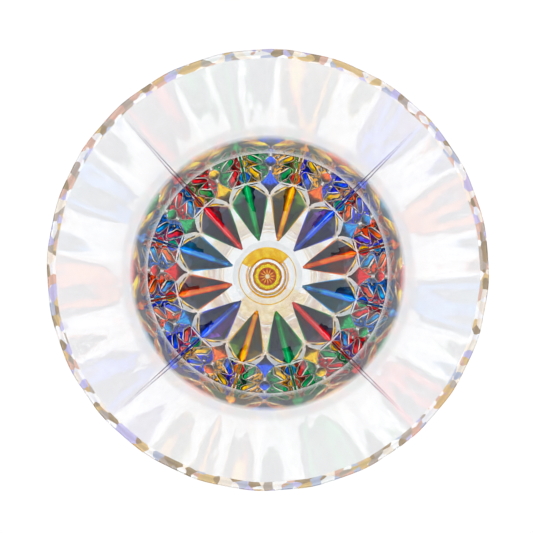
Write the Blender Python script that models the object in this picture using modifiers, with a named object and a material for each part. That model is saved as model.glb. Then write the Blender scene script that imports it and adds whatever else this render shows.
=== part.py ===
"""Stemmed art glass bowl: cut crystal with enamel painted on the outside.

Metres, +Z up. The origin is the centre of the foot's underside.
"""

import math

import bmesh
import bpy
from mathutils import Vector

MM = 0.001

# Overall sizes
HEIGHT = 200 * MM
RIM_RADIUS = 45 * MM
RIM_WALL = 1.3 * MM

# Bowl: both walls swell as a power of the height above their own lowest point
SEAT_Z = 94 * MM
SEAT_RADIUS = 8 * MM
OUTER_POWER = 0.744
FLOOR_Z = 102.5 * MM
INNER_POWER = 0.669
CAP_Z = 106 * MM
CAP_CURVE = 25 * MM
CAP_SOFT = 0.6 * MM
WALL_ROWS = 12
WALL_STEPS = 48

# Collar, stem and foot
COLLAR_RADIUS = 9 * MM
COLLAR_THICKNESS = 3 * MM
STEM_TOP_RADIUS = 5.0 * MM
STEM_WAIST_RADIUS = 3.2 * MM
STEM_BASE_RADIUS = 7.0 * MM
STEM_FLUTES = 12
TURN_STEPS = 36
FLUTE_DEPTH = 0.3 * MM
FOOT_RADIUS = 37 * MM
FOOT_EDGE = 2.4 * MM
FOOT_HEIGHT = 11 * MM

# Mitre cuts, one in each twelfth of the wall
PETALS = 12
SECTOR = 360 / PETALS
FIRST_PETAL = 16.8
PETAL_LOW_Z = 105 * MM
PETAL_HIGH_Z = 137 * MM
PETAL_HALF_WIDTH = 6.1 * MM
SHOULDER = 0.766
CUT_ANGLE = 18
PETAL_ROWS = 7
WHEEL_SPREAD = 1.3
WHEEL_THICKNESS = 4 * MM

# Painted diamonds and scroll leaves above the petals' shoulders
DIAMOND_LOW_Z = 130.5 * MM
DIAMOND_HIGH_Z = 144 * MM
DIAMOND_HALF_WIDTH = 2.9 * MM
DIAMOND_TIP = 0.06
SCROLL_LOW_Z = 138 * MM
SCROLL_HIGH_Z = 146.5 * MM
SCROLL_HALF_WIDTH = 1.3 * MM
SCROLL_TIP = 0.12
SCROLL_FOOT = 4.2 * MM
SCROLL_HEAD = 2.2 * MM

# Enamel
ENAMEL = 0.35 * MM
GAP = 0.3 * MM
SLEEVE_LENGTH = 20 * MM

GREEN = (0.00, 0.32, 0.10, 1)
YELLOW = (0.90, 0.46, 0.01, 1)
BLUE = (0.01, 0.12, 0.80, 1)
ORANGE = (0.91, 0.19, 0.01, 1)
CYAN = (0.00, 0.26, 0.74, 1)
RED = (0.68, 0.01, 0.02, 1)
PETAL_COLOURS = (ORANGE, BLUE, YELLOW, GREEN, RED, CYAN)
DIAMOND_COLOURS = (CYAN, ORANGE, BLUE, YELLOW, GREEN, RED)
GOLD = (0.83, 0.45, 0.04, 1)
CRYSTAL = (0.93, 0.95, 0.95, 1)


def clear_scene():
    for item in list(bpy.data.objects):
        bpy.data.objects.remove(item, do_unlink=True)


def new_collection(name):
    made = bpy.data.collections.new(name)
    bpy.context.scene.collection.children.link(made)
    return made


def new_object(name, mesh, collection):
    made = bpy.data.objects.new(name, mesh)
    collection.objects.link(made)
    return made


def mesh_from(bm, name):
    mesh = bpy.data.meshes.new(name)
    bm.to_mesh(mesh)
    bm.free()
    return mesh


def material(name, colour, roughness, transmission=0.0):
    made = bpy.data.materials.new(name)
    made.use_nodes = True
    shader = made.node_tree.nodes["Principled BSDF"]
    shader.inputs["Base Color"].default_value = colour
    shader.inputs["Roughness"].default_value = roughness
    shader.inputs["Metallic"].default_value = 0.0
    shader.inputs["Transmission Weight"].default_value = transmission
    return made


def shade_smooth(piece, angle=35):
    piece.data.shade_smooth()
    piece.data.set_sharp_from_angle(angle=math.radians(angle))


def add_screw(piece, steps):
    screw = piece.modifiers.new("turn", "SCREW")
    screw.axis = "Z"
    screw.steps = steps
    screw.render_steps = steps
    screw.use_merge_vertices = True
    screw.merge_threshold = 0.00001
    screw.use_smooth_shade = True
    return screw


def turned(name, profile, steps, finish, collection, ring=False):
    """A closed body turned about Z from (radius, z) points that run down its outer side."""
    bm = bmesh.new()
    points = [bm.verts.new((radius, 0, z)) for radius, z in profile]
    for first, second in zip(points, points[1:]):
        bm.edges.new((first, second))
    if ring:
        bm.edges.new((points[-1], points[0]))
    piece = new_object(name, mesh_from(bm, name), collection)
    add_screw(piece, steps)
    piece.data.materials.append(finish)
    return piece


def outer_radius(z):
    rise = max(0.0, (z - SEAT_Z) / (HEIGHT - SEAT_Z))
    return SEAT_RADIUS + (RIM_RADIUS - SEAT_RADIUS) * rise**OUTER_POWER


def inner_height(radius):
    """Height of the inner wall: a cone that runs into a shallow, nearly flat floor."""
    reach = radius / (RIM_RADIUS - RIM_WALL)
    cone = FLOOR_Z + (HEIGHT - FLOOR_Z) * reach ** (1 / INNER_POWER)
    cap = CAP_Z + radius**2 / (2 * CAP_CURVE)
    return (cone + cap + math.hypot(cone - cap, CAP_SOFT)) / 2


def wall_point(angle, z, lift=0.0):
    """A point on the bowl's outside, lifted off it along the wall's normal."""
    step = 0.2 * MM
    slope = (outer_radius(z + step) - outer_radius(z - step)) / (2 * step)
    length = math.hypot(1, slope)
    radius = outer_radius(z) + lift / length
    turn = math.radians(angle)
    return Vector((radius * math.cos(turn), radius * math.sin(turn), z - lift * slope / length))


def bowl_profile():
    """Up the inner wall from the floor's centre, over the rim, down the outer wall, along the seat."""
    lip = HEIGHT - RIM_WALL / 2
    reach = ((lip - FLOOR_Z) / (HEIGHT - FLOOR_Z)) ** INNER_POWER
    widest = (RIM_RADIUS - RIM_WALL) * reach
    inner = [widest * (row / WALL_ROWS) ** 1.07 for row in range(WALL_ROWS + 1)]
    outer = [SEAT_Z + (lip - SEAT_Z) * (row / WALL_ROWS) ** 1.6 for row in range(WALL_ROWS, -1, -1)]
    rim = [(RIM_RADIUS - RIM_WALL / 2, HEIGHT)]
    return (
        [(radius, inner_height(radius)) for radius in inner]
        + rim
        + [(outer_radius(z), z) for z in outer]
        + [(0.0, SEAT_Z)]
    )


def petal_half_width(t):
    """Half the cut's width at t, from 0 at its lower tip to 1 at its upper tip."""
    if t < SHOULDER:
        return PETAL_HALF_WIDTH * (t / SHOULDER) ** 0.7
    return PETAL_HALF_WIDTH * ((1 - t) / (1 - SHOULDER)) ** 0.8


def cut_section(angle, t, spread, lift):
    """Left edge, valley and right edge of a mitre cut at t, widened by spread and lifted outwards."""
    z = PETAL_LOW_Z + (PETAL_HIGH_Z - PETAL_LOW_Z) * t
    half = petal_half_width(t)
    reach = math.degrees(half / outer_radius(z))
    left = wall_point(angle - reach, z, lift)
    right = wall_point(angle + reach, z, lift)
    middle = (left + right) / 2
    outward = wall_point(angle, z, 1 * MM) - wall_point(angle, z)
    valley = middle - outward.normalized() * half * math.tan(math.radians(CUT_ANGLE))
    return [valley + (left - valley) * spread, valley, valley + (right - valley) * spread]


def sheet_through(rows, name):
    """An open sheet through rows of points, made from a grid whose vertices are moved onto them."""
    across = len(rows[0])
    bm = bmesh.new()
    bmesh.ops.create_grid(bm, x_segments=across - 1, y_segments=len(rows) - 1, size=0.5)
    corners = sorted(bm.verts, key=lambda v: (round(v.co.y, 5), round(v.co.x, 5)))
    for place, corner in enumerate(corners):
        corner.co = rows[place // across][place % across]
    return mesh_from(bm, name)


def add_solidify(piece, thickness):
    wall = piece.modifiers.new("wall", "SOLIDIFY")
    wall.thickness = thickness
    wall.offset = 1.0
    wall.use_even_offset = True
    return wall


def sheet_piece(name, rows, thickness, finish, collection):
    """A sheet thickened away from the glass; columns run anticlockwise, so its front faces out."""
    piece = new_object(name, sheet_through(rows, name), collection)
    if finish is not None:
        piece.data.materials.append(finish)
    add_solidify(piece, thickness)
    return piece


def mitre_cutter(number, angle, cutters):
    """The cut's V, carried out past the wall on both sides."""
    rows = [
        cut_section(angle, 0.01 + 0.98 * row / (PETAL_ROWS - 1), WHEEL_SPREAD, 0.0)
        for row in range(PETAL_ROWS)
    ]
    cutter = sheet_piece(f"mitre_wheel_{number:02d}", rows, WHEEL_THICKNESS, None, cutters)
    cutter.hide_render = True
    cutter.display_type = "WIRE"
    return cutter


def make_bowl(crystal, collection, cutters):
    bowl = turned("crystal_bowl", bowl_profile(), WALL_STEPS, crystal, collection)
    for number in range(PETALS):
        cutter = mitre_cutter(number + 1, FIRST_PETAL + SECTOR * number, cutters)
        cut = bowl.modifiers.new(f"mitre_{number + 1:02d}", "BOOLEAN")
        cut.operation = "DIFFERENCE"
        cut.solver = "EXACT"
        cut.use_self = True
        cut.object = cutter
    return bowl


def make_collar(crystal, collection):
    top = SEAT_Z - GAP
    bottom = top - COLLAR_THICKNESS
    soft = COLLAR_THICKNESS / 2
    edge = [
        (
            COLLAR_RADIUS - soft + soft * math.cos(math.radians(turn)),
            top - soft + soft * math.sin(math.radians(turn)),
        )
        for turn in (90, 45, 0, -45, -90)
    ]
    return turned("stem_collar", [(0, top)] + edge + [(0, bottom)], TURN_STEPS, crystal, collection)


def stem_top():
    return SEAT_Z - GAP - COLLAR_THICKNESS - GAP


def stem_radius(z):
    """Fluted stem: a straight waist that swells to its top and, further, to its base."""
    low = FOOT_HEIGHT + GAP
    rise = (z - low) / (stem_top() - low)
    to_top = (STEM_TOP_RADIUS - STEM_WAIST_RADIUS) * rise**6
    to_base = (STEM_BASE_RADIUS - STEM_WAIST_RADIUS) * (1 - rise) ** 5
    return STEM_WAIST_RADIUS + to_top + to_base


def make_stem(crystal, collection):
    """A cone of 24 sides, stacked in rings, whose every other line is pressed in as a flute."""
    low = FOOT_HEIGHT + GAP
    high = stem_top()
    rings = 12
    sides = STEM_FLUTES * 2
    bm = bmesh.new()
    bmesh.ops.create_cone(
        bm, cap_ends=True, segments=sides, radius1=1.0, radius2=1.0, depth=1.0
    )
    uprights = [e for e in bm.edges if abs(e.verts[0].co.z - e.verts[1].co.z) > 0.5]
    bmesh.ops.subdivide_edges(bm, edges=uprights, cuts=rings - 1, use_grid_fill=False)
    for corner in bm.verts:
        z = low + (high - low) * (corner.co.z + 0.5)
        turn = math.atan2(corner.co.y, corner.co.x)
        line = round(math.degrees(turn) / (360 / sides))
        radius = stem_radius(z) - (FLUTE_DEPTH if line % 2 else 0.0)
        corner.co = Vector((radius * math.cos(turn), radius * math.sin(turn), z))
    stem = new_object("crystal_stem", mesh_from(bm, "crystal_stem"), collection)
    stem.data.materials.append(crystal)
    return stem


def make_foot(crystal, collection):
    """A shallow cone that curves up to the stem, on a flat underside."""
    rows = 8
    slope = []
    for row in range(rows + 1):
        reach = row / rows
        radius = STEM_BASE_RADIUS + (FOOT_RADIUS - FOOT_EDGE / 2 - STEM_BASE_RADIUS) * reach
        slope.append((radius, FOOT_EDGE + (FOOT_HEIGHT - FOOT_EDGE) * (1 - reach) ** 2.6))
    soft = FOOT_EDGE / 2
    edge = [
        (
            FOOT_RADIUS - soft + soft * math.cos(math.radians(turn)),
            soft + soft * math.sin(math.radians(turn)),
        )
        for turn in (45, 0, -45, -90)
    ]
    profile = [(0, FOOT_HEIGHT)] + slope + edge + [(0, 0)]
    return turned("crystal_foot", profile, WALL_STEPS, crystal, collection)


def make_stem_enamel(gold, collection):
    """A fired gold sleeve round the stem, flaring out under the collar."""
    top = stem_top()
    rows = 7
    flare = COLLAR_RADIUS - 1.8 * MM - STEM_TOP_RADIUS - GAP
    outside = []
    inside = []
    for row in range(rows + 1):
        z = top - SLEEVE_LENGTH * row / rows
        spread = flare * (1 - row / rows) ** 6
        inside.append((stem_radius(z) + GAP, z))
        outside.append((stem_radius(z) + GAP + ENAMEL + spread, z))
    profile = list(reversed(inside)) + outside
    return turned("stem_gold_enamel", profile, TURN_STEPS, gold, collection, ring=True)


def make_collar_line(gold, collection):
    """A gold line painted round the collar's edge."""
    bm = bmesh.new()
    half = 0.35 * MM
    radius = COLLAR_RADIUS + GAP + half
    centre = SEAT_Z - GAP - COLLAR_THICKNESS / 2
    bmesh.ops.create_circle(bm, cap_ends=False, segments=6, radius=half)
    for corner in bm.verts:
        corner.co = Vector((radius + corner.co.x, 0, centre + corner.co.y))
    bmesh.ops.spin(
        bm,
        geom=bm.verts[:] + bm.edges[:],
        cent=(0, 0, 0),
        axis=(0, 0, 1),
        angle=math.tau,
        steps=TURN_STEPS,
        use_merge=True,
    )
    bmesh.ops.remove_doubles(bm, verts=bm.verts, dist=0.000001)
    bmesh.ops.recalc_face_normals(bm, faces=bm.faces)
    line = new_object("collar_gold_line", mesh_from(bm, "collar_gold_line"), collection)
    line.data.materials.append(gold)
    shade_smooth(line)
    return line


def make_petals(finishes, collection):
    for number in range(PETALS):
        angle = FIRST_PETAL + SECTOR * number
        rows = [
            cut_section(angle, 0.04 + 0.92 * row / (PETAL_ROWS - 1), 0.93, GAP)
            for row in range(PETAL_ROWS)
        ]
        finish = finishes[PETAL_COLOURS[number % len(PETAL_COLOURS)]]
        sheet_piece(f"petal_enamel_{number + 1:02d}", rows, ENAMEL, finish, collection)


def diamond_half_width(t):
    """Concave sides from the lower point, out to the side points half way up, in to the top."""
    return DIAMOND_HALF_WIDTH * max(DIAMOND_TIP, 1 - abs(2 * t - 1)) ** 1.4


def make_diamonds(finishes, collection):
    rows_up = 4
    for number in range(PETALS):
        angle = FIRST_PETAL + SECTOR * (number + 0.5)
        rows = []
        for row in range(rows_up + 1):
            t = row / rows_up
            z = DIAMOND_LOW_Z + (DIAMOND_HIGH_Z - DIAMOND_LOW_Z) * t
            reach = math.degrees(diamond_half_width(t) / outer_radius(z))
            rows.append([wall_point(angle + side * reach, z, GAP) for side in (-1, 0, 1)])
        finish = finishes[DIAMOND_COLOURS[number % len(DIAMOND_COLOURS)]]
        sheet_piece(f"diamond_enamel_{number + 1:02d}", rows, ENAMEL, finish, collection)


def scroll_middle(t):
    """How far a leaf's middle lies from the petal's middle: wide at its foot, close at its head."""
    ease = (0.5 - 0.5 * math.cos(math.pi * t)) ** 0.8
    return SCROLL_FOOT + (SCROLL_HEAD - SCROLL_FOOT) * ease


def make_scrolls(finishes, collection):
    """Two S-shaped leaves fall away from each petal's stem line, one each way, like a tent."""
    rows_up = 5
    for number in range(PETALS * 2):
        side = 1 if number % 2 else -1
        petal = number // 2
        angle = FIRST_PETAL + SECTOR * petal
        rows = []
        for row in range(rows_up + 1):
            t = row / rows_up
            z = SCROLL_LOW_Z + (SCROLL_HIGH_Z - SCROLL_LOW_Z) * t
            half = SCROLL_HALF_WIDTH * max(SCROLL_TIP, math.sin(math.pi * t) ** 0.7)
            places = [side * scroll_middle(t) + across * half for across in (-1, 0, 1)]
            turns = [math.degrees(place / outer_radius(z)) for place in places]
            rows.append([wall_point(angle + turn, z, GAP) for turn in turns])
        finish = finishes[PETAL_COLOURS[(petal + side) % len(PETAL_COLOURS)]]
        sheet_piece(f"scroll_enamel_{number + 1:02d}", rows, ENAMEL, finish, collection)


def main():
    clear_scene()
    parts = new_collection("stemmed_art_glass_bowl")
    cutters = new_collection("cutters")
    crystal = material("crystal", CRYSTAL, 0.02, transmission=1.0)
    gold = material("gold_enamel", GOLD, 0.25)
    names = {GREEN: "green", YELLOW: "yellow", BLUE: "blue", ORANGE: "orange", CYAN: "cyan", RED: "red"}
    finishes = {
        colour: material(f"{name}_enamel", colour, 0.18) for colour, name in names.items()
    }
    make_bowl(crystal, parts, cutters)
    make_collar(crystal, parts)
    make_stem(crystal, parts)
    make_foot(crystal, parts)
    make_stem_enamel(gold, parts)
    make_collar_line(gold, parts)
    make_petals(finishes, parts)
    make_diamonds(finishes, parts)
    make_scrolls(finishes, parts)


main()
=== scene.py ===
import math

import bmesh
import bpy
from mathutils import Matrix, Vector


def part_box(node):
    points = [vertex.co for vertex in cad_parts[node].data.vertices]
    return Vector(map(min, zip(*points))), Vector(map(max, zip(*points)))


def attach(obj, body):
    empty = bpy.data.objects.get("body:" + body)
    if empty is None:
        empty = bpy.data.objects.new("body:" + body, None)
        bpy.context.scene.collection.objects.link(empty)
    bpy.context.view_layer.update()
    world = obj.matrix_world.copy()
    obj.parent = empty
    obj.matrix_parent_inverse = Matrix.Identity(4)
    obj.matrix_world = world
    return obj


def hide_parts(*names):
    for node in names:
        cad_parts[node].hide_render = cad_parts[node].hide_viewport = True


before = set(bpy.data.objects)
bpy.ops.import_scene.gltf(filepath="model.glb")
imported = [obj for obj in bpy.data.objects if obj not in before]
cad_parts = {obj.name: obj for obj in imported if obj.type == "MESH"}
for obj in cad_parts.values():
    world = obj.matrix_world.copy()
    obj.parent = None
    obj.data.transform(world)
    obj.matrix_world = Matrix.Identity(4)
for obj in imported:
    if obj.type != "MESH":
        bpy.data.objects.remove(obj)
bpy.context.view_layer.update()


# ---- The crystal bowl --------------------------------------------------------------------------
# Clear lead crystal, blown into a four-part mould, so it is thick below and thin at its rim. A
# wheel cuts petals, diamonds and leaves into its outside for the enamels, and a gold line is painted
# beside its seat, with a gold arc by it that is a painted reflection of the gold-sleeved stem. The rim
# is fire-polished, slightly wavy, and acts as a lens; the colours it shows are painted reflections.

MM = 0.001
SLACK = 0.01 * MM
seat_corner, rim_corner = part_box("crystal_bowl")
SEAT_Z = seat_corner[2]
HEIGHT = rim_corner[2]

# The wall: its outside and its hollow are power curves, and the hollow ends in a shallow floor
RIM_RADIUS = 45 * MM
RIM_WALL = 1.3 * MM
RIM_BAND = 1.5 * MM
SEAT_RADIUS = 8 * MM
FLOOR_Z = SEAT_Z + 8.5 * MM
OUTER_POWER = 0.744
INNER_POWER = 0.669
CAP_Z = SEAT_Z + 12 * MM
CAP_CURVE = 25 * MM
CAP_SOFT = 0.6 * MM
LOBES = 24
LOBE_DEPTH = 0.16 * MM

# The cuts, each with its two heights, its half width and its depth
PETALS = 12
SECTOR = 360 / PETALS
FIRST_PETAL = 16.8
PETAL = (105.0 * MM, 137.0 * MM)
PETAL_HALF = 6.1 * MM
SHOULDER = 0.766
SHOULDER_POWERS = (0.7, 0.8)
TIP_SHARE = 0.15
PETAL_DEPTH = 2.2 * MM
VALLEY_HALF = 0.95 * MM
DIAMOND = (130.5 * MM, 144.0 * MM)
DIAMOND_HALF = 2.9 * MM
DIAMOND_DEPTH = 0.6 * MM
DIAMOND_POWER = 1.4
DIAMOND_DEEPEST = 0.4
ACCENT = (131.5 * MM, 136.0 * MM)
DROP = (138.5 * MM, 144.5 * MM)
DROP_HALF = 0.72 * MM
DROP_GAP = 0.35 * MM
LEAF = (138.0 * MM, 146.5 * MM)
LEAF_HALF = 1.5 * MM
LEAF_FOOT = 4.2 * MM
LEAF_HEAD = 2.2 * MM
LEAF_SLOPE = math.tan(math.radians(20))
CROWN = (147.5 * MM, 153.0 * MM)
CROWN_HALF = 1.5 * MM
CROWN_FOOT = 5.2 * MM
CROWN_HEAD = 2.6 * MM
CROWN_DROP = (147.0 * MM, 151.0 * MM)
BEAD = (146.0 * MM, 151.5 * MM)
BEAD_HALF = 1.5 * MM
SWIRL = (138.0 * MM, 153.0 * MM)
GOLD_LINE = (100.5 * MM, 101.0 * MM)
# A gold arc beside the seat, a painted reflection of the gold-sleeved stem
GOLD_REFLECTION_TURN = (46, 155)

# The outer wall's rows, and its columns in groups: valley (3 groups), petal or leaf, gap, diamond
BAND_TOP = 153.5 * MM
CUT_TOP = 160.0 * MM
CUT_LOW = 104.0 * MM
ROW = 0.5 * MM
NARROW = 0.25 * MM
CLEAR_ROWS = 40
INNER_ROWS = 64
SHARP_CUT = 12
COLUMNS = (1, 2, 1, 4, 3, 3)
HALF_SECTOR = sum(COLUMNS)

# Painted fields: the columns each covers, counted out from the petal's middle, and its heights
FIELDS = {
    "petal": (0, 8, PETAL),
    "diamond": (11, 14, DIAMOND),
    "accent": (8, 9, ACCENT),
    "drop": (1, 3, DROP),
    "leaf": (4, 8, LEAF),
    "crown": (4, 8, CROWN),
    "crown_drop": (1, 3, CROWN_DROP),
    "bead": (11, 14, BEAD),
    "swirl": (8, 11, SWIRL),
    "stem_line": (0, 1, SWIRL),
    "vein": (3, 4, SWIRL),
}


def outer_radius(z):
    rise = max(0.0, (z - SEAT_Z) / (HEIGHT - SEAT_Z))
    return SEAT_RADIUS + (RIM_RADIUS - SEAT_RADIUS) * rise**OUTER_POWER


def inner_radius(z):
    rise = max(0.0, (z - FLOOR_Z) / (HEIGHT - FLOOR_Z))
    return (RIM_RADIUS - RIM_WALL) * rise**INNER_POWER


def inner_height(radius):
    """Height of the inner wall: a cone that runs into a shallow, nearly flat floor."""
    reach = radius / (RIM_RADIUS - RIM_WALL)
    cone = FLOOR_Z + (HEIGHT - FLOOR_Z) * reach ** (1 / INNER_POWER)
    cap = CAP_Z + radius**2 / (2 * CAP_CURVE)
    return (cone + cap + math.hypot(cone - cap, CAP_SOFT)) / 2


def share(z, ends):
    """Where z lies between two heights, from 0 to 1, kept within them."""
    return min(1.0, max(0.0, (z - ends[0]) / (ends[1] - ends[0])))


def swell(z, ends, half, power):
    """Half the width of a leaf-shaped field at height z, nought at both its tips."""
    return half * max(0.0, math.sin(math.pi * share(z, ends))) ** power


def petal_half(z):
    """Half the width of a petal: slowly wider up to its shoulders, then quickly to its upper tip."""
    t = share(z, PETAL)
    if t < SHOULDER:
        return PETAL_HALF * (t / SHOULDER) ** SHOULDER_POWERS[0]
    return PETAL_HALF * ((1 - t) / (1 - SHOULDER)) ** SHOULDER_POWERS[1]


def diamond_half(z):
    """Half the width of a diamond, with concave sides, or of the bead above it."""
    pointed = 1 - abs(2 * share(z, DIAMOND) - 1)
    return max(DIAMOND_HALF * pointed**DIAMOND_POWER, swell(z, BEAD, BEAD_HALF, 0.8))


def leaf_half(z):
    """Half the width of a leaf, or of the crown leaf above it."""
    return max(swell(z, LEAF, LEAF_HALF, 0.7), swell(z, CROWN, CROWN_HALF, 0.7))


def drop_half(z):
    """Half the width of a drop, or of the smaller one above it."""
    return max(swell(z, DROP, DROP_HALF, 0.8), swell(z, CROWN_DROP, 0.8 * DROP_HALF, 0.8))


def drop_middle(z):
    return DROP_GAP + max(drop_half(z), NARROW / 2)


def ease(t):
    """From 0 to 1 with a soft start and end."""
    return (0.5 - 0.5 * math.cos(math.pi * t)) ** 0.8


def leaf_middle(z):
    """How far a leaf's middle lies from the petal's middle: each leaf falls away like a tent's side."""
    if z < LEAF[1]:
        return LEAF_FOOT + (LEAF_HEAD - LEAF_FOOT) * ease(share(z, LEAF))
    if z < CROWN[0]:
        return LEAF_HEAD + (CROWN_FOOT - LEAF_HEAD) * share(z, (LEAF[1], CROWN[0]))
    return CROWN_FOOT + (CROWN_HEAD - CROWN_FOOT) * ease(share(z, CROWN))


def column_edges(z):
    """Widths along the wall, from the petal's middle, at which each group of columns ends."""
    half_sector = math.radians(SECTOR / 2) * outer_radius(z)
    diamond = half_sector - max(diamond_half(z), NARROW)
    if z <= PETAL[1]:
        petal = max(petal_half(z), 2 * NARROW)
        valley = min(VALLEY_HALF, 0.6 * petal)
        return valley / 4, valley * 3 / 4, valley, petal, diamond, half_sector
    drop = max(drop_half(z), NARROW / 2)
    leaf = max(leaf_half(z), NARROW / 2)
    nearest = drop_middle(z) + drop + leaf + NARROW
    farthest = diamond - leaf - NARROW
    middle = max(nearest, min(leaf_middle(z), farthest))
    drop_edges = (drop_middle(z) - drop, drop_middle(z) + drop)
    return drop_edges + (middle - leaf, middle + leaf, diamond, half_sector)


def column_turn(z, column):
    """The angle of a column, out from the petal's middle; past the diamond's middle it mirrors."""
    if column > HALF_SECTOR:
        return math.radians(SECTOR) - column_turn(z, 2 * HALF_SECTOR - column)
    even = math.radians(SECTOR / 2) * abs(column) / HALF_SECTOR
    edges = (0.0,) + column_edges(z)
    left = abs(column)
    width = edges[-1]
    for step, count in enumerate(COLUMNS):
        if left <= count:
            width = edges[step] + (edges[step + 1] - edges[step]) * left / count
            break
        left -= count
    turn = width / outer_radius(z)
    side = -1 if column < 0 else 1
    return side * (turn + (even - turn) * share(z, (BAND_TOP, CUT_TOP)))


def groove(across, half):
    """Depth of a narrow cut with sloping sides and a flat bottom half its width."""
    return max(0.0, half - max(across, 0.5 * half)) * LEAF_SLOPE


def petal_depth(z, across):
    """Depth of a petal's cut: a flat valley from tip to tip between two flat facets."""
    radius = outer_radius(z)
    half = petal_half(z)
    bow = radius * (math.cos(across / radius) - math.cos(half / radius))
    full = radius * (1 - math.cos(half / radius))
    t = share(z, PETAL)
    deep = PETAL_DEPTH * min(1, t / TIP_SHARE, (1 - t) / TIP_SHARE) ** 0.6
    fall = min(1, (half - across) / (half - min(VALLEY_HALF, 0.6 * half)))
    return max(0, deep - full) * fall + bow


def cut_depth(z, turn):
    """How far the cuts lie below the blown wall at an angle from the petal's middle."""
    radius = outer_radius(z)
    if abs(turn) > math.radians(SECTOR / 2):
        turn = math.radians(SECTOR) - abs(turn)
    across = abs(turn) * radius
    if across < petal_half(z):
        return petal_depth(z, across)
    away = math.radians(SECTOR / 2) * radius - across
    half = diamond_half(z)
    if away < half:
        t = share(z, DIAMOND)
        below = t / DIAMOND_DEEPEST
        above = 1 - 0.3 * (t - DIAMOND_DEEPEST) / (1 - DIAMOND_DEEPEST)
        deep = DIAMOND_DEPTH * min(below, above)
        return deep * (1 - (away / half) ** 2) * min(1, half / (0.3 * DIAMOND_HALF))
    leaf = groove(abs(across - leaf_middle(z)), leaf_half(z))
    drop = groove(abs(across - drop_middle(z)), drop_half(z))
    return max(leaf, drop)


def lobe_dip(z, angle):
    """How far the clear wall is drawn in between its soft lobes, more towards the rim."""
    return LOBE_DEPTH * share(z, (CUT_TOP, HEIGHT)) * (0.5 - 0.5 * math.cos(LOBES * angle))


def wall_point(petal, z, turn, lift=0.0):
    """A point of the finished outer wall, lifted off it by so much."""
    step = 0.2 * MM
    slope = (outer_radius(z + step) - outer_radius(z - step)) / (2 * step)
    length = math.hypot(1, slope)
    angle = math.radians(FIRST_PETAL + SECTOR * petal) + turn
    out = lift - cut_depth(z, turn) - lobe_dip(z, angle)
    radius = outer_radius(z) + out / length
    return Vector((radius * math.cos(angle), radius * math.sin(angle), z - out * slope / length))


def wall_heights():
    """Heights of the outer wall's rows, from the rim down: wide above, close in the cut zone."""
    top = HEIGHT - RIM_WALL / 2
    clear = [top + (CUT_TOP - top) * row / CLEAR_ROWS for row in range(CLEAR_ROWS)]
    cut = [CUT_TOP - ROW * row for row in range(round((CUT_TOP - CUT_LOW) / ROW))]
    low = [CUT_LOW - ROW * row for row in range(round((CUT_LOW - SEAT_Z) / ROW) + 1)]
    return clear + cut + low


def bowl_profile(heights):
    """Up the inner wall from the floor's middle, over the rim and down the outer wall to the seat."""
    top = inner_radius(HEIGHT - RIM_BAND)
    inner = [top * (row / INNER_ROWS) ** 1.1 for row in range(INNER_ROWS + 1)]
    half = RIM_WALL / 2
    middle = outer_radius(HEIGHT - half) - half
    arc = [math.radians(turn) for turn in range(180, 0, -30)]
    rim = [(middle + half * math.cos(turn), HEIGHT - half + half * math.sin(turn)) for turn in arc]
    outer = [(outer_radius(z), z) for z in heights]
    return [(radius, inner_height(radius)) for radius in inner] + rim + outer + [(0.0, SEAT_Z)]


def spun(points, steps, angle=math.tau):
    """A profile of (radius, z) points turned about Z."""
    bm = bmesh.new()
    corners = [bm.verts.new((radius, 0, z)) for radius, z in points]
    edges = [bm.edges.new(pair) for pair in zip(corners, corners[1:])]
    bmesh.ops.spin(
        bm,
        geom=corners + edges,
        cent=(0, 0, 0),
        axis=(0, 0, 1),
        angle=angle,
        steps=steps,
        use_merge=angle == math.tau,
    )
    bmesh.ops.remove_doubles(bm, verts=bm.verts, dist=0.001 * MM)
    bmesh.ops.recalc_face_normals(bm, faces=bm.faces)
    return bm


def finish_mesh(bm, name, smooth_angle):
    """The piece itself, smooth except where two faces meet at more than an angle."""
    mesh = bpy.data.meshes.new(name)
    bm.to_mesh(mesh)
    bm.free()
    mesh.shade_smooth()
    mesh.set_sharp_from_angle(angle=math.radians(smooth_angle))
    piece = bpy.data.objects.new(name, mesh)
    bpy.context.scene.collection.objects.link(piece)
    return piece


def is_painted(corners):
    """Whether a face of the outer wall, given as (column, z) of its corners, lies under enamel."""
    for first, last, (low, high) in FIELDS.values():
        if all(first <= abs(c) <= last and low - SLACK <= z <= high + SLACK for c, z in corners):
            return True
    return False


def is_gold_line_or_reflection(face):
    """Whether a face of the outer wall lies under the gold line, or under the gold arc below it, a
    painted reflection of the gold-sleeved stem.
    """
    middle = face.calc_center_median()
    turn = math.degrees(math.atan2(middle.y, middle.x))
    in_gold_reflection = GOLD_REFLECTION_TURN[0] < turn < GOLD_REFLECTION_TURN[1]
    return middle.z < GOLD_LINE[1] and (in_gold_reflection or middle.z > GOLD_LINE[0])


def shape_wall(bm, heights, steps):
    """Moves each corner of the turned wall to its cut place. Gives (column, z) of the outer ones."""
    per_sector = steps // PETALS
    rows = {round(z * 1e6): z for z in heights}
    spots = {}
    plain = []
    for corner in bm.verts:
        radius = math.hypot(corner.co.x, corner.co.y)
        angle = math.atan2(corner.co.y, corner.co.x)
        z = rows.get(round(corner.co.z * 1e6))
        if z is None or abs(radius - outer_radius(z)) > SLACK:
            dip = lobe_dip(corner.co.z, angle + math.radians(FIRST_PETAL)) / max(radius, MM)
            corner.co.x *= 1 - dip
            corner.co.y *= 1 - dip
            plain.append(corner)
            continue
        petal, column = divmod(round(angle / math.tau * steps) + HALF_SECTOR, per_sector)
        column -= HALF_SECTOR
        corner.co = wall_point(petal, z, column_turn(z, column))
        spots[corner] = (column, z)
    to_first = Matrix.Rotation(math.radians(FIRST_PETAL), 3, "Z")
    bmesh.ops.rotate(bm, verts=plain, cent=(0, 0, 0), matrix=to_first)
    return spots


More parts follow.
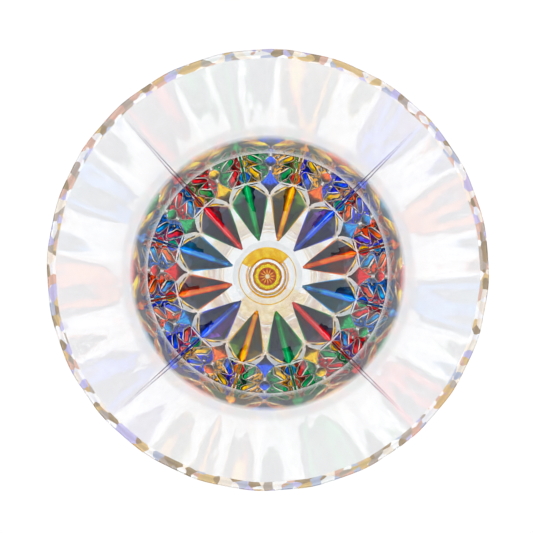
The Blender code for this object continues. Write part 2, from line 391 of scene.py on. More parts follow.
def make_bowl():
    """The whole bowl as one closed wall. Slots: 0 crystal, 1 under enamel, 2 rim, 3 under gold and its
    painted reflection.
    """
    heights = wall_heights()
    steps = PETALS * 2 * HALF_SECTOR
    bm = spun(bowl_profile(heights), steps)
    spots = shape_wall(bm, heights, steps)
    for face in bm.faces:
        if all(corner.co.z < SEAT_Z + SLACK for corner in face.verts):
            face.material_index = 1
        elif all(corner in spots for corner in face.verts):
            if is_painted([spots[corner] for corner in face.verts]):
                face.material_index = 1
            elif is_gold_line_or_reflection(face):
                face.material_index = 3
        elif all(corner.co.z > HEIGHT - RIM_BAND - 0.1 * MM for corner in face.verts):
            face.material_index = 2
    return finish_mesh(bm, "cut_crystal_bowl", SHARP_CUT)


def linear(code):
    """An sRGB hex code as linear red, green, blue and alpha."""
    parts = [int(code[place : place + 2], 16) / 255 for place in (0, 2, 4)]
    return tuple(c / 12.92 if c <= 0.04045 else ((c + 0.055) / 1.055) ** 2.4 for c in parts) + (1.0,)


def new_material(name):
    made = bpy.data.materials.new(name)
    made.use_nodes = True
    made.node_tree.nodes.clear()
    return made


def add(tree, kind, settings=None, links=None):
    """Adds a node. Settings are its properties and socket values; links are sockets joined to it."""
    made = tree.nodes.new(kind)
    for key, value in (settings or {}).items():
        if isinstance(key, int) or key in made.inputs:
            made.inputs[key].default_value = value
        else:
            setattr(made, key, value)
    for key, source in (links or {}).items():
        tree.links.new(source, made.inputs[key])
    return made


def polished_crystal(name, ripple_mm, ripple_depth_mm, thin=None):
    """Polished crystal: clear and faintly cool, with the slow ripple that a drawn wall keeps. With
    thin, more and more light goes straight through, from none at the first height to its last
    number at the second, as the eye hardly sees the plain parts of the piece."""
    made = new_material(name)
    tree = made.node_tree
    where = add(tree, "ShaderNodeTexCoord")
    draw = add(tree, "ShaderNodeMapping", {"Scale": (1, 1, 0.06)}, {"Vector": where.outputs["Object"]})
    size = {"Scale": 1 / (ripple_mm * MM), "Detail": 1.5}
    ripple = add(tree, "ShaderNodeTexNoise", size, {"Vector": draw.outputs["Vector"]})
    push = {"Strength": 1.0, "Distance": ripple_depth_mm * MM}
    bump = add(tree, "ShaderNodeBump", push, {"Height": ripple.outputs["Fac"]})
    glass = {"Base Color": linear("FBFDFD"), "Roughness": 0.0, "IOR": 1.54, "Transmission Weight": 1.0}
    shader = add(tree, "ShaderNodeBsdfPrincipled", glass, {"Normal": bump.outputs["Normal"]})
    surface = shader.outputs["BSDF"]
    if thin:
        low, high, most = thin
        split = add(tree, "ShaderNodeSeparateXYZ", None, {"Vector": where.outputs["Object"]})
        ends = {"From Min": low, "From Max": high, "To Min": 0.0, "To Max": most}
        part = add(tree, "ShaderNodeMapRange", ends, {"Value": split.outputs["Z"]})
        through = add(tree, "ShaderNodeBsdfTransparent")
        both = {0: part.outputs["Result"], 1: surface, 2: through.outputs["BSDF"]}
        surface = add(tree, "ShaderNodeMixShader", None, both).outputs["Shader"]
    add(tree, "ShaderNodeOutputMaterial", None, {"Surface": surface})
    return made


def colour_steps(tree, mask, codes, hard=False):
    """Colours spread evenly over a mask from 0 to 1."""
    made = add(tree, "ShaderNodeValToRGB", None, {"Fac": mask})
    made.color_ramp.interpolation = "CONSTANT" if hard else "LINEAR"
    stops = made.color_ramp.elements
    while len(stops) < len(codes):
        stops.new(0.5)
    for place, code in enumerate(codes):
        stops[place].position = place / len(codes)
        stops[place].color = linear(code)
    return made.outputs["Color"]


def see_through_enamel(tree, colour, body):
    """Enamel fired onto glass and seen through it: coloured light, and a little body of its own."""
    clear = add(tree, "ShaderNodeBsdfTransparent", None, {"Color": colour})
    matt = add(tree, "ShaderNodeBsdfDiffuse", None, {"Color": colour})
    both = {1: clear.outputs["BSDF"], 2: matt.outputs["BSDF"]}
    mixed = add(tree, "ShaderNodeMixShader", {0: body}, both)
    add(tree, "ShaderNodeOutputMaterial", None, {"Surface": mixed.outputs["Shader"]})


def gold_behind_glass(name):
    """Gold-yellow enamel seen through the glass it is fired onto, cloudy where the brush laid it
    thicker, so it goes from amber to lemon yellow."""
    made = new_material(name)
    tree = made.node_tree
    where = add(tree, "ShaderNodeTexCoord")
    size = {"Scale": 350.0, "Detail": 2.0, "Distortion": 0.8}
    clouds = add(tree, "ShaderNodeTexNoise", size, {"Vector": where.outputs["Object"]})
    colour = colour_steps(tree, clouds.outputs["Fac"], ("E88A08", "E8A208", "F8C810", "FFE850"))
    see_through_enamel(tree, colour, 0.25)
    return made


def rim_painted_reflections(name):
    """The fire-polished lip, a lens: its glass is tinted in small cells of white, cream, taupe, blue,
    lilac and pink, painted reflections of the enamels below as small broken lights.
    """
    made = new_material(name)
    tree = made.node_tree
    where = add(tree, "ShaderNodeTexCoord")
    cells = add(tree, "ShaderNodeTexVoronoi", {"Scale": 520.0}, {"Vector": where.outputs["Object"]})
    split = add(tree, "ShaderNodeSeparateColor", None, {"Color": cells.outputs["Color"]})
    codes = ("FFFFFF", "E4CCA0", "C8BEB4", "FFFFFF", "C8CEE0", "D4D0F2", "E6C6B8", "FCF4E8", "B8A890")
    colour = colour_steps(tree, split.outputs["Red"], codes, hard=True)
    shader = add(tree, "ShaderNodeBsdfGlass", {"Roughness": 0.05, "IOR": 1.54}, {"Color": colour})
    add(tree, "ShaderNodeOutputMaterial", None, {"Surface": shader.outputs["BSDF"]})
    return made


crystal_wall = polished_crystal("blown_lead_crystal", 4, 0.05, (156 * MM, 159 * MM, 0.75))

# Glass that enamel or another piece is fused to: there is no surface between them for light to see
bed = new_material("crystal_under_enamel")
clear = add(bed.node_tree, "ShaderNodeBsdfTransparent")
add(bed.node_tree, "ShaderNodeOutputMaterial", None, {"Surface": clear.outputs["BSDF"]})
# Gold enamel, also used for the gold arc that is a painted reflection of the gold-sleeved stem
gold_line_and_reflection = gold_behind_glass("gold_enamel_and_painted_reflection")
bowl = make_bowl()
for finish in (crystal_wall, bed, rim_painted_reflections("fire_polished_rim_painted_reflections"), gold_line_and_reflection):
    bowl.data.materials.append(finish)
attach(bowl, "root")
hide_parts("crystal_bowl")


# ---- The petals --------------------------------------------------------------------------------
# Twelve mitre cuts, each painted with transparent enamel and fired. The wheel leaves a flat valley
# between two facets: the valley lets light straight through, and the facets turn it away; that shade
# is also painted into the facets' enamel as slate and tints.

ENAMEL_LIFT = 0.03 * MM
ENAMEL_SKIN = 0.06 * MM
TURBID = 0.25
LESS_TURBID = 0.2


def enamel_skin(name, petal, columns, ends, paint):
    """A thin closed skin over the wall between two columns and two heights, half sunk in it."""
    rows = round((ends[1] - ends[0]) / ROW) + 1
    across = columns[1] - columns[0] + 1
    bm = bmesh.new()
    bmesh.ops.create_grid(bm, x_segments=across - 1, y_segments=rows - 1, size=0.5)
    layer = bm.loops.layers.uv.new("brush")
    spots = {}
    ordered = sorted(bm.verts, key=lambda v: (round(v.co.y, 5), round(v.co.x, 5)))
    for number, corner in enumerate(ordered):
        z = ends[0] + ROW * (number // across)
        column = columns[0] + number % across
        corner.co = wall_point(petal, z, column_turn(z, column), ENAMEL_LIFT)
        spots[corner] = (number % across / (across - 1), share(z, ends))
    for face in bm.faces:
        for loop in face.loops:
            loop[layer].uv = spots[loop.vert]
    piece = finish_mesh(bm, name, SHARP_CUT)
    wall = piece.modifiers.new("enamel thickness", "SOLIDIFY")
    wall.thickness = ENAMEL_SKIN
    wall.offset = -1.0
    wall.use_even_offset = False
    wall.material_offset = 1
    wall.material_offset_rim = 1
    piece.data.materials.append(paint)
    piece.data.materials.append(bed)
    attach(piece, "root")
    return piece


def blend(tree, mask, first, second):
    """One colour or socket where the mask is 0 and another where it is 1."""
    made = add(tree, "ShaderNodeMix", {"data_type": "RGBA"}, {0: mask})
    for place, value in ((6, first), (7, second)):
        if isinstance(value, str):
            made.inputs[place].default_value = linear(value)
        else:
            tree.links.new(value, made.inputs[place])
    return made.outputs[2]


def sum_up(tree, operation, first, second):
    """One sum of two sockets or numbers."""
    made = add(tree, "ShaderNodeMath", {"operation": operation})
    for place, value in enumerate((first, second)):
        if isinstance(value, (int, float)):
            made.inputs[place].default_value = value
        else:
            tree.links.new(value, made.inputs[place])
    return made.outputs[0]


def between(tree, value, low, high):
    """0 below one value, 1 above another, and a straight slope between them."""
    ends = {"From Min": low, "From Max": high}
    return add(tree, "ShaderNodeMapRange", ends, {"Value": value}).outputs["Result"]


def brush_places(tree):
    """Across a field from -0.5 to 0.5, how far from its middle, and up it from 0 to 1."""
    brush = add(tree, "ShaderNodeUVMap", {"uv_map": "brush"})
    split = add(tree, "ShaderNodeSeparateXYZ", None, {"Vector": brush.outputs["UV"]})
    across = sum_up(tree, "SUBTRACT", split.outputs["X"], 0.5)
    return across, sum_up(tree, "ABSOLUTE", across, 0.0), split.outputs["Y"]


def brush_strokes(tree, across_scale, along_scale, seed):
    """Brush strokes that run along a field, from 0 to 1."""
    brush = add(tree, "ShaderNodeUVMap", {"uv_map": "brush"})
    stretch = {"Scale": (across_scale, along_scale, 1), "Location": (seed, seed * 1.7, 0)}
    place = add(tree, "ShaderNodeMapping", stretch, {"Vector": brush.outputs["UV"]})
    noise = {"Scale": 1.0, "Detail": 2.0, "Roughness": 0.5}
    return add(tree, "ShaderNodeTexNoise", noise, {"Vector": place.outputs["Vector"]}).outputs["Fac"]


def stained_glass(tree, colour, turbid):
    """Transparent enamel: coloured glass that also scatters a little of the light from outside."""
    glass = add(tree, "ShaderNodeBsdfGlass", {"Roughness": 0.0, "IOR": 1.54}, {"Color": colour})
    haze = add(tree, "ShaderNodeBsdfTranslucent", None, {"Color": colour})
    both = {1: glass.outputs["BSDF"], 2: haze.outputs["BSDF"]}
    mixed = add(tree, "ShaderNodeMixShader", {0: turbid}, both)
    add(tree, "ShaderNodeOutputMaterial", None, {"Surface": mixed.outputs["Shader"]})


def petal_enamel(name, paint, seed):
    """A bright ribbon between two facets of painted shade, slate with tints that are painted reflections
    of the neighbours; a painted highlight streak along the ribbon, cream along the shoulders and a
    painted highlight line below them.
    """
    own, light, side, left, right, line = paint
    made = new_material(name)
    tree = made.node_tree
    across, away, up = brush_places(tree)
    clouds = brush_strokes(tree, 5, 2.0, seed + 4)
    # Painted shade: each facet gets its own dark tint, mixed with slate, for the light it turns away and
    # the neighbours it reflects.
    facet_painted_tints = blend(tree, sum_up(tree, "GREATER_THAN", across, 0.0), left, right)
    facets_painted_shade = blend(tree, between(tree, clouds, 0.45, 0.6), facet_painted_tints, "4A5060")
    ribbon = blend(tree, between(tree, away, 0.15, 0.2), own, side)
    # Painted highlight: a narrow pale line along the ribbon, for the light a rounded valley would catch.
    painted_highlight_line = sum_up(tree, "ABSOLUTE", sum_up(tree, "SUBTRACT", across, 0.05), 0.0)
    ribbon = blend(tree, between(tree, painted_highlight_line, 0.055, 0.02), ribbon, light)
    colour = blend(tree, between(tree, away, 0.25, 0.255), ribbon, facets_painted_shade)
    # Painted highlight: a line of bright colour along the lower edges, for the light their rounding
    # catches; cream along the shoulders.
    at_edge = between(tree, away, 0.47, 0.48)
    rim = blend(tree, between(tree, up, 0.7, 0.74), line, "FFF0C8")
    stained_glass(tree, blend(tree, at_edge, colour, rim), TURBID)
    return made


# own colour, painted highlight streak, the ribbon's sides, left and right facet tints (painted shade
# with painted reflections of the neighbours), painted highlight line along the lower edges
PETAL_PAINTS = {
    "green": ("08B060", "30E898", "04A058", "1C3C58", "10905C", "10C060"),
    "yellow": ("FFC400", "FFE840", "FF6A08", "6A9420", "7A6420", "F0B810"),
    "blue": ("1458FF", "A8D0FF", "2060FF", "283478", "8858C0", "3048E8"),
    "orange": ("FF8014", "FFB048", "F83818", "A04040", "506070", "FF7A10"),
    "cyan": ("0898F8", "68DCFF", "0870E8", "187088", "205878", "10A8F0"),
    "red": ("F80C28", "FFA8B0", "E80820", "803848", "4C4C64", "18A060"),
}
PETAL_ORDER = ("orange", "blue", "yellow", "green", "red", "cyan")
petal_paints = {}
for seed, (colour, paint) in enumerate(PETAL_PAINTS.items()):
    petal_paints[colour] = petal_enamel(f"{colour}_transparent_enamel", paint, seed)

for petal in range(PETALS):
    colour = PETAL_ORDER[petal % 6]
    name = f"petal_{petal + 1:02d}_{colour}"
    half = FIELDS["petal"][1]
    piece = enamel_skin(name, petal, (-half, half), PETAL, petal_paints[colour])
    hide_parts(f"petal_enamel_{petal + 1:02d}")


# ---- The diamonds ------------------------------------------------------------------------------
# Four-pointed stars in the notches between the petals, ground shallow and filled with enamel by brush.
# The small bead of the same colour above each is a painted reflection of the diamond in the wall.

def field_enamel(name, own, light, deep, seed):
    """A small brushed field, with a painted highlight along its middle and painted shade at its lower
    end.
    """
    made = new_material(name)
    tree = made.node_tree
    _, away, up = brush_places(tree)
    strokes = brush_strokes(tree, 6, 1.5, seed)
    # Painted highlight: the upper middle of the field is lighter, as a domed drop of enamel would gather
    # light.
    middle = sum_up(tree, "MULTIPLY", between(tree, away, 0.12, 0.02), between(tree, up, 0.45, 0.7))
    bright = blend(tree, between(tree, strokes, 0.42, 0.6), own, light)
    bright = blend(tree, middle, bright, light)
    # Painted shade: the lower end of the field is darker.
    colour = blend(tree, between(tree, up, 0.52, 0.3), bright, deep)
    stained_glass(tree, colour, LESS_TURBID)
    return made


# own colour, light strokes (also the painted highlight along a field's middle), deep colour: painted
# shade at a field's lower end and on a groove's side
FIELD_PAINTS = {
    "green": ("08A058", "20C878", "183830"),
    "yellow": ("FFB800", "FFE020", "584008"),
    "blue": ("1030F0", "1C78FF", "141C50"),
    "orange": ("FF5408", "FF9030", "582010"),
    "cyan": ("0878E0", "10B8F0", "103850"),
    "red": ("E00820", "FF3840", "481024"),
}
DIAMOND_ORDER = ("cyan", "orange", "blue", "yellow", "green", "red")
field_paints = {}
for seed, (colour, paint) in enumerate(FIELD_PAINTS.items()):
    field_paints[colour] = field_enamel(f"{colour}_brushed_enamel", *paint, seed + 10)


def mirrored(field):
    """The columns of a field that spans the middle between two petals."""
    return field[0], 2 * HALF_SECTOR - field[0]


for petal in range(PETALS):
    colour = DIAMOND_ORDER[petal % 6]
    paint = field_paints[colour]
    # The bead is a painted reflection of the diamond below, mirrored in the wall.
    for shape in ("diamond", "bead"):
        columns = mirrored(FIELDS[shape])
        piece = enamel_skin(f"{shape}_{petal + 1:02d}_{colour}", petal, columns, FIELDS[shape][2], paint)
        if shape == "diamond":
            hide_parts(f"diamond_enamel_{petal + 1:02d}")


# ---- The leaves and drops ----------------------------------------------------------------------
# Narrow S-shaped grooves that fall from a stem line above each petal like the sides of a tent, with a
# pair of drops inside. Each is cut, then filled with enamel. The crown of the same above is a painted
# reflection of this band in the wall, and the ground between them is swirled with painted shade and
# painted reflections in slate and cream.

def groove_enamel(name, own, light, deep, seed):
    """A coloured line along the groove's flat bottom, painted shade on its sides (its deep colour on one
    side, slate on the other), cream along its edges.
    """
    made = new_material(name)
    tree = made.node_tree
    across, away, _ = brush_places(tree)
    strokes = brush_strokes(tree, 5, 2.5, seed)
    line = blend(tree, between(tree, strokes, 0.45, 0.55), own, light)
    # Painted shade: the groove's two sides, one dark in the field's deep colour and one slate.
    side = blend(tree, between(tree, across, -0.1, 0.1), deep, "5A6270")
    colour = blend(tree, between(tree, away, 0.22, 0.27), line, side)
    stained_glass(tree, blend(tree, between(tree, away, 0.42, 0.45), colour, "FFF2D8"), TURBID)
    return made


groove_paints = {}
for seed, (colour, paint) in enumerate(FIELD_PAINTS.items()):
    groove_paints[colour] = groove_enamel(f"{colour}_lined_enamel", *paint, seed + 20)


def outline_enamel(name, core, seed):
    """The ground between the shapes, its own colour swirled with slate painted shade and cream painted
    reflections, with cream lines round it.
    """
    made = new_material(name)
    tree = made.node_tree
    _, away, _ = brush_places(tree)
    strokes = brush_strokes(tree, 3, 9.0, seed)
    # Painted shade and painted reflections: slate and cream swirls for the shade and mirrored images
    # seen in this band.
    swirl = blend(tree, between(tree, strokes, 0.48, 0.52), core, "323C4A")
    swirl = blend(tree, between(tree, strokes, 0.62, 0.65), swirl, "FFF6E4")
    stained_glass(tree, blend(tree, between(tree, away, 0.38, 0.43), swirl, "FFF6E8"), LESS_TURBID)
    return made


ground_paints = {}
for seed, (colour, (own, light, deep)) in enumerate(FIELD_PAINTS.items()):
    ground_paints[colour] = outline_enamel(f"{colour}_painted_shade_and_reflection_ground", own, seed + 30)


def sided(field, side):
    """A field's columns on one side of the petal's middle."""
    return (field[0], field[1]) if side > 0 else (-field[1], -field[0])


for number in range(2 * PETALS):
    side = 1 if number % 2 else -1
    petal = number // 2
    beside = PETAL_ORDER[(petal + side) % 6]
    beyond = PETAL_ORDER[(petal + 2 * side) % 6]
    own = PETAL_ORDER[petal % 6]
    shapes = (
        ("leaf", beside, groove_paints),
        ("drop", beyond, groove_paints),
        # The crown and crown drop are painted reflections of the leaf and drop below, mirrored in the
        # wall.
        ("crown", own, groove_paints),
        ("crown_drop", beside, groove_paints),
        ("accent", "yellow", field_paints),
        ("swirl", own, ground_paints),
        ("vein", beside, ground_paints),
    )
    for shape, colour, paints in shapes:
        field = FIELDS[shape]
        name = f"{shape}_{number + 1:02d}_{colour}"
        piece = enamel_skin(name, petal, sided(field, side), field[2], paints[colour])
        if shape == "leaf":
            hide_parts(f"scroll_enamel_{number + 1:02d}")
    if side > 0:
        name = f"stem_line_{petal + 1:02d}_{own}"
        piece = enamel_skin(name, petal, (-1, 1), SWIRL, ground_paints[own])


# ---- The mould seams ---------------------------------------------------------------------------
# Where the four parts of the mould met, a fine seam runs up the outside and dies away below the rim.
# It bends the light a little into two thin mauve lines, which are painted into its glass as a tint.

SEAM_PETALS = (1, 4, 7, 10)
SEAM = (146.0 * MM, 194.0 * MM)
SEAM_HALF = 0.85 * MM
SEAM_LIFT = 0.05 * MM
SEAM_ROWS = 48

seam_painted_light = new_material("mould_seam_crystal")
tree = seam_painted_light.node_tree
_, away, up = brush_places(tree)
inner_edge = between(tree, away, 0.24, 0.34)
outer_edge = between(tree, away, 0.5, 0.42)
mark = sum_up(tree, "MULTIPLY", inner_edge, outer_edge)
mark = sum_up(tree, "MULTIPLY", mark, between(tree, up, 1.0, 0.5))
# Painted light: two thin mauve lines in a clear tint, for the light the seam bends.
tint = blend(tree, mark, "FFFFFF", "A088A8")
through = add(tree, "ShaderNodeBsdfTransparent", None, {"Color": tint})
add(tree, "ShaderNodeOutputMaterial", None, {"Surface": through.outputs["BSDF"]})

for number, petal in enumerate(SEAM_PETALS):
    bm = bmesh.new()
    bmesh.ops.create_grid(bm, x_segments=4, y_segments=SEAM_ROWS, size=0.5)
    layer = bm.loops.layers.uv.new("brush")
    spots = {corner: (corner.co.x + 0.5, corner.co.y + 0.5) for corner in bm.verts}
    for corner, (u, v) in spots.items():
        z = SEAM[0] + (SEAM[1] - SEAM[0]) * v
        width = SEAM_HALF * (1 - 0.85 * v**0.6)
        turn = (2 * u - 1) * width / outer_radius(z)
        corner.co = wall_point(petal, z, turn, SEAM_LIFT)
    for face in bm.faces:
        for loop in face.loops:
            loop[layer].uv = spots[loop.vert]
    seam = finish_mesh(bm, f"mould_seam_{number + 1}", 30)
    wall = seam.modifiers.new("seam thickness", "SOLIDIFY")
    wall.thickness = 0.03 * MM
    wall.offset = -1.0
    seam.data.materials.append(seam_painted_light)
    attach(seam, "root")


# ---- The collar --------------------------------------------------------------------------------
# A flat crystal disc fused between bowl and stem, with a gold line round its edge. In its upper
# joint lie an amber star, painted light for the view down the fluted stem, and the inner part of the
# gold arc, a painted reflection of the gold-sleeved stem.

STEM_TOP = 5.0 * MM
STAR_RADIUS = 5.65 * MM
STAR_RAYS = 12
CREAM = (1.0 * MM, 0.6 * MM)
RAY_ENDS = (3.3 * MM, 2.0 * MM)
AMBER_EDGE = (3.1 * MM, 3.4 * MM)
YELLOW_EDGE = (4.9 * MM, 5.6 * MM)
GOLD_REFLECTION_REACH = (7.0 * MM, 7.95 * MM)


def gold_enamel(name):
    """Glossy gold-yellow enamel, thick enough to hide the glass but lit from behind."""
    made = new_material(name)
    tree = made.node_tree
    where = add(tree, "ShaderNodeTexCoord")
    noise = {"Scale": 500.0, "Detail": 2.0}
    clouds = add(tree, "ShaderNodeTexNoise", noise, {"Vector": where.outputs["Object"]})
    colour = blend(tree, between(tree, clouds.outputs["Fac"], 0.4, 0.6), "F8B400", "FFD820")
    coat = {"Roughness": 0.2, "IOR": 1.5}
    shader = add(tree, "ShaderNodeBsdfPrincipled", coat, {"Base Color": colour})
    glow = add(tree, "ShaderNodeBsdfTranslucent", None, {"Color": colour})
    both = {1: shader.outputs["BSDF"], 2: glow.outputs["BSDF"]}
    mixed = add(tree, "ShaderNodeMixShader", {0: 0.5}, both)
    add(tree, "ShaderNodeOutputMaterial", None, {"Surface": mixed.outputs["Shader"]})
    return made


def painted_view_down_stem(name):
    """Amber enamel with twelve paler rays from a cream middle, inside a ring of bright yellow: painted
    light for the view down the fluted stem, the rays its flutes, the cream middle the table at its end,
    the ring its gold sleeve.
    """
    made = new_material(name)
    tree = made.node_tree
    where = add(tree, "ShaderNodeTexCoord")
    split = add(tree, "ShaderNodeSeparateXYZ", None, {"Vector": where.outputs["Object"]})
    flat = add(tree, "ShaderNodeCombineXYZ", None, {"X": split.outputs["X"], "Y": split.outputs["Y"]})
    reach = add(tree, "ShaderNodeVectorMath", {"operation": "LENGTH"}, {0: flat.outputs["Vector"]})
    reach = reach.outputs["Value"]
    turn = sum_up(tree, "ARCTAN2", split.outputs["Y"], split.outputs["X"])
    turns = sum_up(tree, "MULTIPLY", turn, float(STAR_RAYS))
    rays = sum_up(tree, "SINE", turns, 0.0)
    bright = sum_up(tree, "MULTIPLY", between(tree, rays, -0.3, 0.5), between(tree, reach, *RAY_ENDS))
    colour = blend(tree, bright, "E07C20", "FFE078")
    colour = blend(tree, between(tree, reach, *AMBER_EDGE), colour, "FFF228")
    colour = blend(tree, between(tree, reach, *YELLOW_EDGE), colour, "FAD820")
    colour = blend(tree, between(tree, reach, *CREAM), colour, "FFFCE8")
    see_through_enamel(tree, colour, 0.12)
    return made


def fuse_flat_faces(bm, heights, reach):
    """Faces where two pieces are fused have no surface for light to see: they get the second slot."""
    for face in bm.faces:
        flat = any(all(abs(corner.co.z - z) < SLACK for corner in face.verts) for z in heights)
        if flat and all(math.hypot(corner.co.x, corner.co.y) < reach for corner in face.verts):
            face.material_index = 1


def round_edge(radius, middle, half, first, last, steps):
    """Points of a rounded edge, turned from the first angle to the last."""
    turns = [math.radians(first + (last - first) * step / steps) for step in range(steps + 1)]
    return [(radius - half + half * math.cos(turn), middle + half * math.sin(turn)) for turn in turns]


crystal = polished_crystal("polished_lead_crystal", 6, 0.03)
gold = gold_enamel("gold_yellow_enamel")

collar_low, collar_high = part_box("stem_collar")
half = (collar_high[2] - collar_low[2]) / 2
middle = (collar_high[2] + collar_low[2]) / 2
edge = round_edge(collar_high[0], middle, half, 90, -90, 12)
profile = [(0, collar_high[2])] + edge + [(STEM_TOP, collar_low[2]), (0, collar_low[2])]
bm = spun(profile, 96)
fuse_flat_faces(bm, (collar_high[2],), SEAT_RADIUS)
fuse_flat_faces(bm, (collar_low[2],), STEM_TOP + 0.1 * MM)
collar = finish_mesh(bm, "crystal_collar", 40)
collar.data.materials.append(crystal)
collar.data.materials.append(bed)
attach(collar, "root")
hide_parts("stem_collar")

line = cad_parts["collar_gold_line"]
line.data.materials.clear()
line.data.materials.append(gold)

JOINT_Z = (SEAT_Z + collar_high[2]) / 2
# The amber star is painted light, a stand-in for the view down the fluted, gold-sleeved stem.
bm = bmesh.new()
bmesh.ops.create_circle(bm, cap_ends=True, segments=96, radius=STAR_RADIUS)
for corner in bm.verts:
    corner.co.z = JOINT_Z
star_of_painted_light = finish_mesh(bm, "collar_amber_star_painted_light", 30)

# The gold arc in the joint: a painted reflection of the gold-sleeved stem
first, last = (math.radians(turn) for turn in GOLD_REFLECTION_TURN)
bm = spun([(GOLD_REFLECTION_REACH[0], JOINT_Z), (GOLD_REFLECTION_REACH[1], JOINT_Z)], 40, last - first)
bmesh.ops.rotate(bm, verts=bm.verts, cent=(0, 0, 0), matrix=Matrix.Rotation(first, 3, "Z"))
gold_reflection = finish_mesh(bm, "collar_painted_gold_reflection", 30)

for piece, finish in ((star_of_painted_light, painted_view_down_stem("amber_star_painted_light")), (gold_reflection, gold_line_and_reflection)):
    wall = piece.modifiers.new("enamel thickness", "SOLIDIFY")
    wall.thickness = ENAMEL_SKIN
    wall.offset = 0.0
    piece.data.materials.append(finish)
    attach(piece, "root")


# ---- The stem ----------------------------------------------------------------------------------
# Drawn crystal, pressed into twelve flutes and swelling to the foot. Its upper part wears a sleeve
# of gold enamel that flares a little under the collar.

stem_low, stem_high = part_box("crystal_stem")
sleeve_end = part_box("stem_gold_enamel")[0][2]
STEM_WAIST = 3.2 * MM
STEM_BASE = stem_high[0]
STEM_FLUTES = 12
FLUTE_PRESS = 0.09
STEM_STEPS = 144
SLEEVE_ROWS = 24
LOWER_ROWS = 20
SLEEVE_LIFT = 0.1 * MM
FLARE = 1.0 * MM


def stem_radius(z):
    """A straight waist that swells to the collar above and, further, to the foot below."""
    rise = (z - stem_low[2]) / (stem_high[2] - stem_low[2])
    return STEM_WAIST + (STEM_TOP - STEM_WAIST) * rise**6 + (STEM_BASE - STEM_WAIST) * (1 - rise) ** 5


def press_flutes(bm):
    """Presses the flutes in all round, deepest between two ridges."""
    for corner in bm.verts:
        turn = math.atan2(corner.co.y, corner.co.x)
        press = 1 - FLUTE_PRESS * (0.5 - 0.5 * math.cos(STEM_FLUTES * turn))
        corner.co.x *= press
        corner.co.y *= press


sleeve_length = stem_high[2] - sleeve_end
above = [stem_high[2] - sleeve_length * row / SLEEVE_ROWS for row in range(SLEEVE_ROWS + 1)]
rest = sleeve_end - stem_low[2]
below = [sleeve_end - rest * row / LOWER_ROWS for row in range(1, LOWER_ROWS + 1)]
side = [(stem_radius(z), z) for z in above + below]
bm = spun([(0, stem_high[2])] + side + [(0, stem_low[2])], STEM_STEPS)
press_flutes(bm)
fuse_flat_faces(bm, (stem_high[2], stem_low[2]), 2 * STEM_BASE)
stem = finish_mesh(bm, "fluted_crystal_stem", 40)
stem_crystal = polished_crystal("drawn_stem_crystal", 6, 0.03, (70 * MM, 64 * MM, 0.75))
stem.data.materials.append(stem_crystal)
stem.data.materials.append(bed)
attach(stem, "root")
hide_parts("crystal_stem")

flared = []
for row, z in enumerate(above):
    flare = FLARE * (1 - row / SLEEVE_ROWS) ** 6
    flared.append((stem_radius(z) + SLEEVE_LIFT + flare, z))
bm = spun(flared, STEM_STEPS)
press_flutes(bm)
sleeve = finish_mesh(bm, "stem_gold_sleeve", 40)
wall = sleeve.modifiers.new("enamel thickness", "SOLIDIFY")
wall.thickness = SLEEVE_LIFT
wall.offset = 0.0
sleeve.data.materials.append(gold)
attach(sleeve, "root")
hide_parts("stem_gold_enamel")


# ---- The foot ----------------------------------------------------------------------------------
# A plain disc of drawn crystal that rises to the stem, with a rounded edge. The stem is fused to it.

foot_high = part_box("crystal_foot")[1]
FOOT_EDGE = 2.4 * MM
FOOT_ROWS = 24

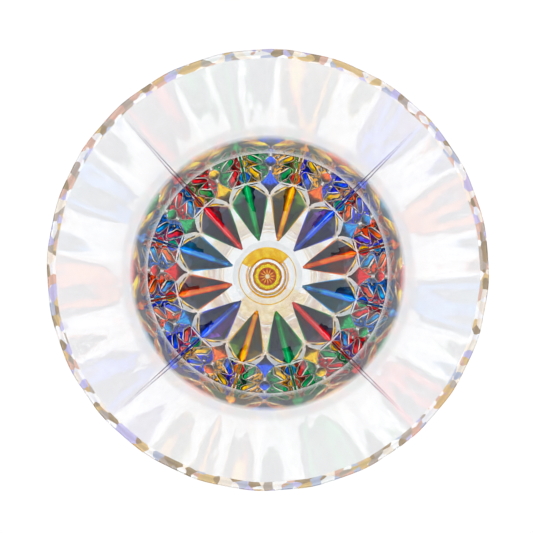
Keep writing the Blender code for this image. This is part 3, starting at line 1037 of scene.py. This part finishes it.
slope = []
for row in range(FOOT_ROWS + 1):
    reach = row / FOOT_ROWS
    radius = STEM_BASE + (foot_high[0] - FOOT_EDGE / 2 - STEM_BASE) * reach
    slope.append((radius, FOOT_EDGE + (foot_high[2] - FOOT_EDGE) * (1 - reach) ** 2.6))
edge = round_edge(foot_high[0], FOOT_EDGE / 2, FOOT_EDGE / 2, 75, -90, 11)
profile = [(0, foot_high[2])] + slope + edge + [(0, 0)]
bm = spun(profile, STEM_STEPS)
fuse_flat_faces(bm, (foot_high[2],), STEM_BASE + 0.1 * MM)
foot = finish_mesh(bm, "crystal_foot_disc", 40)
foot.data.materials.append(polished_crystal("drawn_foot_crystal", 8, 0.02, (10 * MM, 4 * MM, 0.7)))
foot.data.materials.append(bed)
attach(foot, "root")
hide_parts("crystal_foot")


# ---- Table, light and camera -------------------------------------------------------------------
# A plain pale table and one soft white sky, a little darker towards the horizon, as in a small
# studio tent. The camera looks almost straight down into the bowl.

CAMERA_LIFT = 200 * MM

bpy.ops.mesh.primitive_plane_add(size=3.0, location=(0, 0, -0.4 * MM))
table = bpy.context.object
table.name = "pale_table"
white = new_material("matt_white_table")
matt = {"Base Color": linear("F6F1EC"), "Roughness": 0.7}
shader = add(white.node_tree, "ShaderNodeBsdfPrincipled", matt)
add(white.node_tree, "ShaderNodeOutputMaterial", None, {"Surface": shader.outputs["BSDF"]})
table.data.materials.append(white)

world = bpy.data.worlds.new("white studio")
bpy.context.scene.world = world
world.use_nodes = True
tree = world.node_tree
tree.nodes.clear()
where = add(tree, "ShaderNodeTexCoord")
split = add(tree, "ShaderNodeSeparateXYZ", None, {"Vector": where.outputs["Generated"]})
ends = {"From Min": 0.0, "From Max": 0.7, "To Min": 0.6, "To Max": 1.12}
strength = add(tree, "ShaderNodeMapRange", ends, {"Value": split.outputs["Z"]})
sky = {"Color": (0.93, 0.97, 1.03, 1)}
background = add(tree, "ShaderNodeBackground", sky, {"Strength": strength.outputs["Result"]})
add(tree, "ShaderNodeOutputWorld", None, {"Surface": background.outputs["Background"]})

scene = bpy.context.scene
scene.view_settings.view_transform = "Standard"
scene.view_settings.look = "Medium High Contrast"
scene.cycles.max_bounces = 32
scene.cycles.transmission_bounces = 32
scene.cycles.glossy_bounces = 32
scene.cycles.transparent_max_bounces = 64

camera_data = bpy.data.cameras.new("camera")
camera_data.lens = 66.9
camera_data.sensor_width = 36
camera_data.clip_start = 0.01
camera = bpy.data.objects.new("camera", camera_data)
scene.collection.objects.link(camera)
camera.location = Vector((0, -4.8 * MM, HEIGHT + CAMERA_LIFT))
gaze = Vector((-0.3 * MM, 0.4 * MM, HEIGHT)) - camera.location
camera.rotation_euler = gaze.to_track_quat("-Z", "Y").to_euler()
scene.camera = camera
